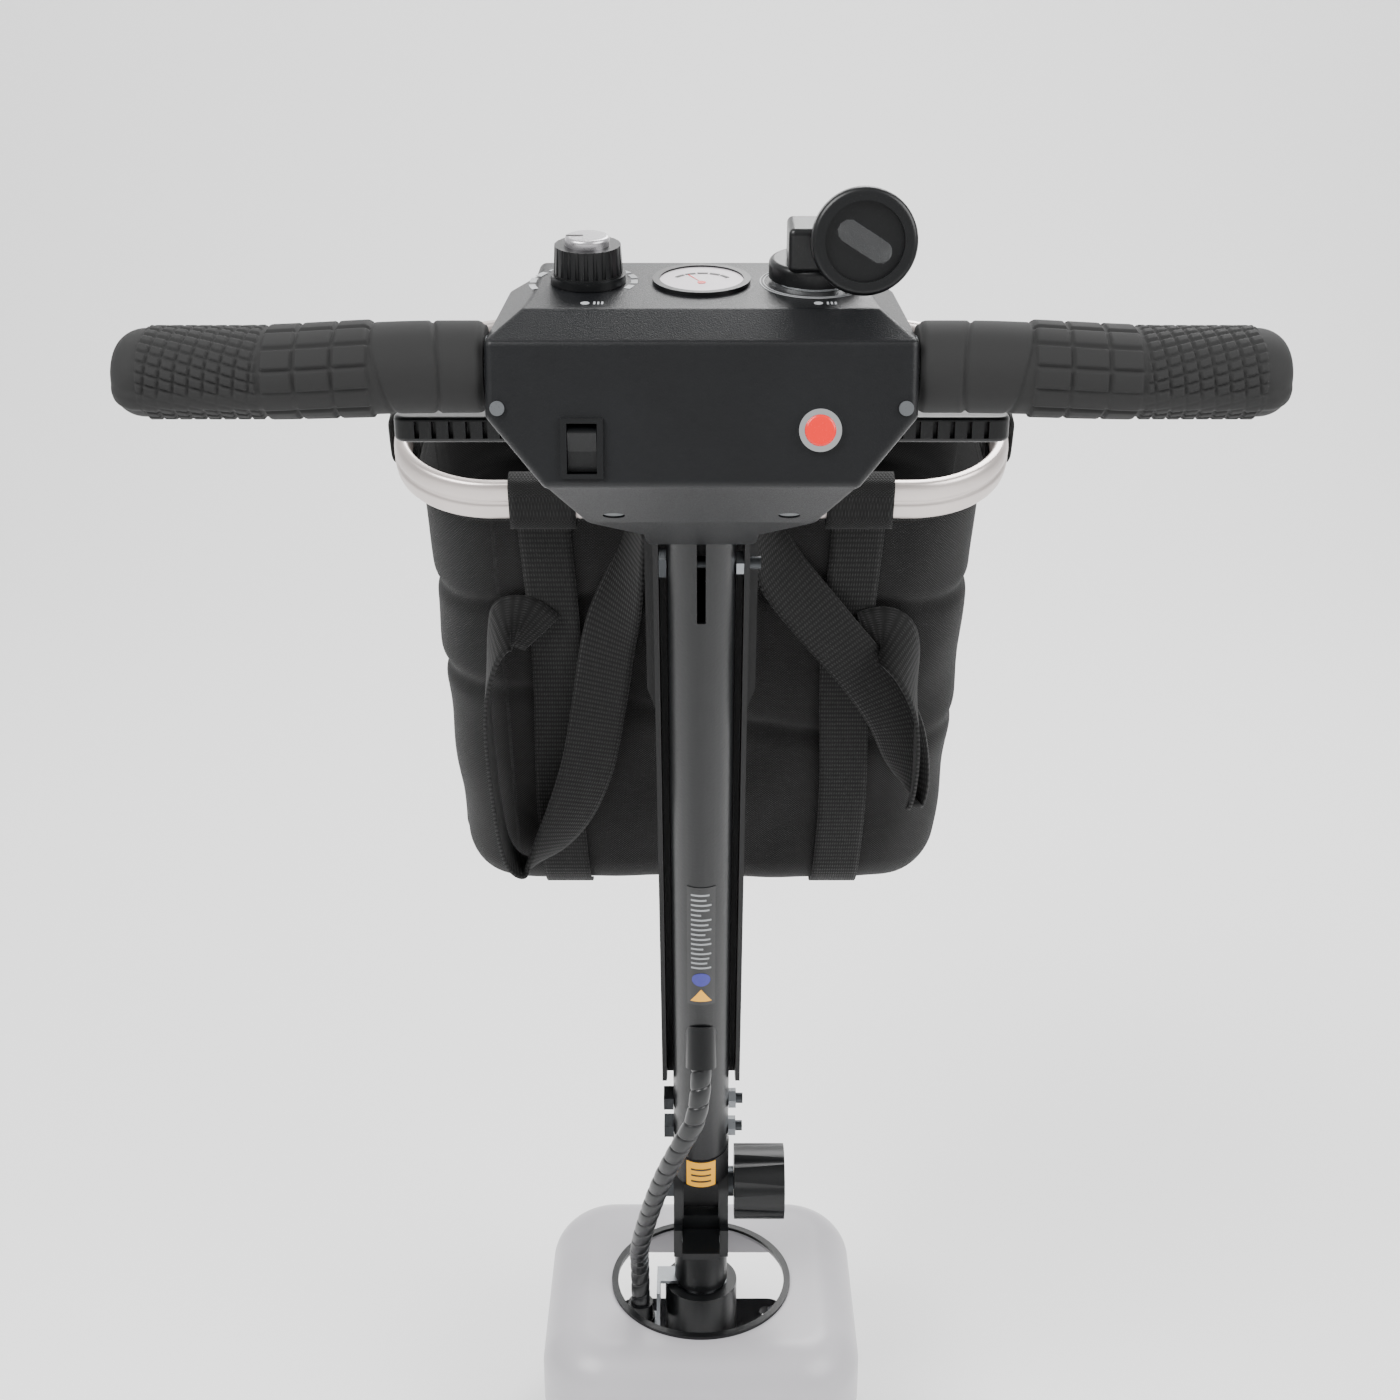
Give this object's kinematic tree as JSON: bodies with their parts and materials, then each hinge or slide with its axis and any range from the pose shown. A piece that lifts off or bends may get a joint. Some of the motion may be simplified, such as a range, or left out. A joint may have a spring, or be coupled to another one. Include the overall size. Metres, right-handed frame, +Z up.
{
  "type": "mobility scooter steering tiller",
  "caption": "Folding steering tiller for a mobility scooter: control console with wig-wag throttle and grips on a leaning column, with a front bag, hinge and steering head.",
  "frame": {"origin": "middle of the chassis flange's underside, on the vertical steering axis", "axes": "+Z up along the steering axis, -Y towards the rider, +X to the rider's right"},
  "size_m": [0.414, 0.4346, 0.7885],
  "materials": {
    "head_steel": "black powder coat, satin",
    "bearing_steel": "ground bearing steel",
    "cowl_plastic": "moulded, light grey, semi-gloss",
    "black_plastic": "moulded, fine pebble grain",
    "shaft_steel": "turned steel",
    "zinc_steel": "zinc plated fastener",
    "yoke_metal": "black powder coat, satin",
    "column_paint": "black powder coat, satin",
    "channel_paint": "black powder coat, low sheen",
    "aluminium_bar": "anodised, satin",
    "bag_fabric": "woven polyester, diagonal weave",
    "webbing": "ribbed nylon webbing",
    "board": "stiffener board",
    "grip_rubber": "moulded matte rubber",
    "brass": "turned",
    "chrome": "bright plated",
    "red_plastic": "moulded, gloss",
    "dial_silver": "printed silver face",
    "clear_plastic": "clear moulded",
    "silver_film": "silver film",
    "circuit_green": "glass-fibre board",
    "yellow_label": "printed vinyl",
    "paper_label": "printed vinyl label",
    "cable_jacket": "spiral wrapped harness",
    "spring_steel": "drawn wire"
  },
  "bodies": {
    "steering_head": {"head_tube": "head_steel", "head_bearings": "bearing_steel", "front_cowl": "cowl_plastic", "cowl_screws": "zinc_steel", "cowl_trim": "black_plastic"},
    "stem": {"steerer_shaft": "shaft_steel", "steerer_washer": "zinc_steel", "steerer_nut": "zinc_steel", "stem_crown": "yoke_metal", "hinge_yoke": "yoke_metal", "hinge_bolt": "zinc_steel", "clamp_washer": "zinc_steel", "lever_pin": "shaft_steel", "plug_bracket": "zinc_steel", "harness_plug": "black_plastic"},
    "fold_knob": {"fold_knob": "black_plastic", "knob_insert": "brass"},
    "latch_lever": {"latch_lever": "black_plastic"},
    "column": {"hinge_knuckle": "column_paint", "caution_label": "yellow_label", "column_tube": "column_paint", "back_channel": "channel_paint", "column_bolts": "zinc_steel", "column_nuts": "zinc_steel", "cable_grommet": "grip_rubber", "column_label": "paper_label", "bag_frame": "aluminium_bar", "bag_bracket": "channel_paint", "bracket_bolts": "zinc_steel", "bag_shell": "bag_fabric", "bag_base_board": "board", "bag_sleeves": "bag_fabric", "corner_tabs": "webbing", "bag_webbing": "webbing", "bag_handles": "webbing", "handlebar": "shaft_steel", "grip_left": "grip_rubber", "grip_right": "grip_rubber", "console_upper": "black_plastic", "console_lower": "black_plastic", "console_screws": "zinc_steel", "circuit_board": "circuit_green", "throttle_pot": "black_plastic", "gauge_bezel": "black_plastic", "gauge_lens": "clear_plastic", "gauge_meter": "silver_film", "speed_pot": "shaft_steel", "lock_barrel": "chrome", "rocker_housing": "black_plastic", "horn_bezel": "chrome", "horn_spring": "spring_steel", "harness": "cable_jacket"},
    "throttle": {"throttle_bar": "black_plastic"},
    "speed_knob": {"speed_knob": "black_plastic", "speed_knob_cap": "dial_silver"},
    "key": {"lock_cylinder": "chrome", "key_head": "black_plastic", "key_tag": "clear_plastic"},
    "power_rocker": {"power_rocker": "black_plastic"},
    "horn_button": {"horn_button": "red_plastic"}
  },
  "joints": [
    {"name": "steering", "type": "hinge", "parent": "steering_head", "child": "stem", "pos_m": [0, 0, 0.03], "axis": [0, 0, 1], "range_deg": [-45, 45]},
    {"name": "tiller_fold", "type": "hinge", "parent": "stem", "child": "column", "pos_m": [0, 0, 0.13], "axis": [1, 0, 0], "range_deg": [-12, 55], "deforming": ["harness"]},
    {"name": "fold_knob_turn", "type": "hinge", "parent": "stem", "child": "fold_knob", "pos_m": [0.03, 0, 0.13], "axis": [1, 0, 0], "range_deg": [0, 270]},
    {"name": "latch_lift", "type": "hinge", "parent": "stem", "child": "latch_lever", "pos_m": [0, -0.0165, 0.101], "axis": [-1, 0, 0], "range_deg": [0, 22], "stiffness_Nm_per_rad": 0.4, "springref_deg": -17.19},
    {"name": "throttle_swing", "type": "hinge", "parent": "column", "child": "throttle", "pos_m": [0, -0.262, 0.66], "axis": [0, 0, 1], "range_deg": [-9, 9], "stiffness_Nm_per_rad": 1.2},
    {"name": "speed_turn", "type": "hinge", "parent": "column", "child": "speed_knob", "pos_m": [-0.0415, -0.25305, 0.71699], "axis": [0, -0.1305, 0.9914], "range_deg": [-135, 135]},
    {"name": "key_turn", "type": "hinge", "parent": "column", "child": "key", "pos_m": [0.0415, -0.25227, 0.71105], "axis": [0, -0.1305, 0.9914], "range_deg": [0, 60]},
    {"name": "power_rock", "type": "hinge", "parent": "column", "child": "power_rocker", "pos_m": [-0.042, -0.30094, 0.6611], "axis": [1, 0, 0], "range_deg": [-14, 0]},
    {"name": "horn_press", "type": "slide", "parent": "column", "child": "horn_button", "axis": [0, 0.9798, -0.2], "range_m": [0, 0.0025], "stiffness_N_per_m": 400, "springref_m": -0.0005, "deforming": ["horn_spring"]}
  ]
}
